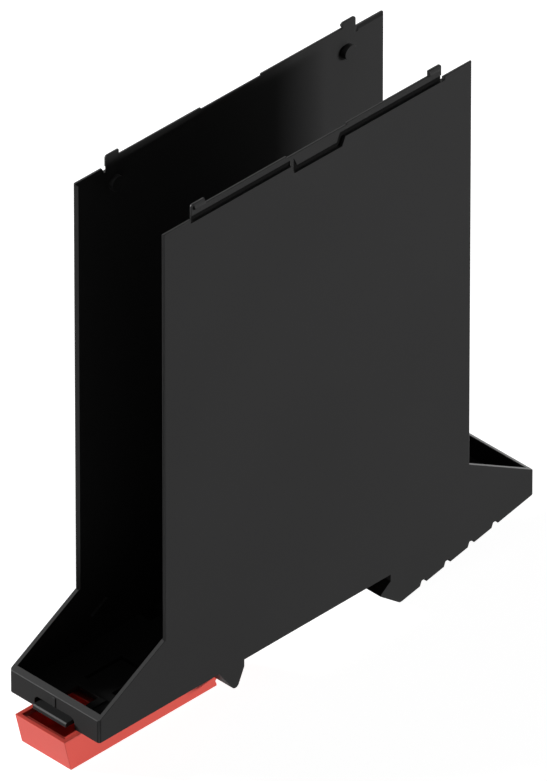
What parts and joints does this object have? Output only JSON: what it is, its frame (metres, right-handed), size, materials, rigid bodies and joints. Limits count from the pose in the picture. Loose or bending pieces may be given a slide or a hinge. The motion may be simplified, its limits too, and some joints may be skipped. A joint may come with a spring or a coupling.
{
  "type": "din rail enclosure base",
  "caption": "Slim U-shaped enclosure base with tall side walls, end trays, a fixed hook and a sprung rail foot that snaps onto a 35 mm top-hat rail.",
  "frame": {"origin": "centre of the seat that lies on the rail's flanges, midway across the rail and across the module's width", "axes": "+X along the housing towards the fixed hook, +Y along the rail, +Z away from the rail"},
  "size_m": [0.1122, 0.0226, 0.1106],
  "materials": {
    "housing_black": "fine spark-eroded moulded plastic",
    "foot_red": "smooth moulded plastic"
  },
  "bodies": {
    "housing": {"base_housing": "housing_black"},
    "foot": {"rail_foot": "foot_red", "foot_spring": "foot_red"}
  },
  "joints": [
    {"name": "foot_slide", "type": "slide", "parent": "housing", "child": "foot", "axis": [-1, 0, 0], "range_m": [0, 0.0035], "stiffness_N_per_m": 1500, "springref_m": -0.001, "deforming": ["foot_spring"]}
  ]
}
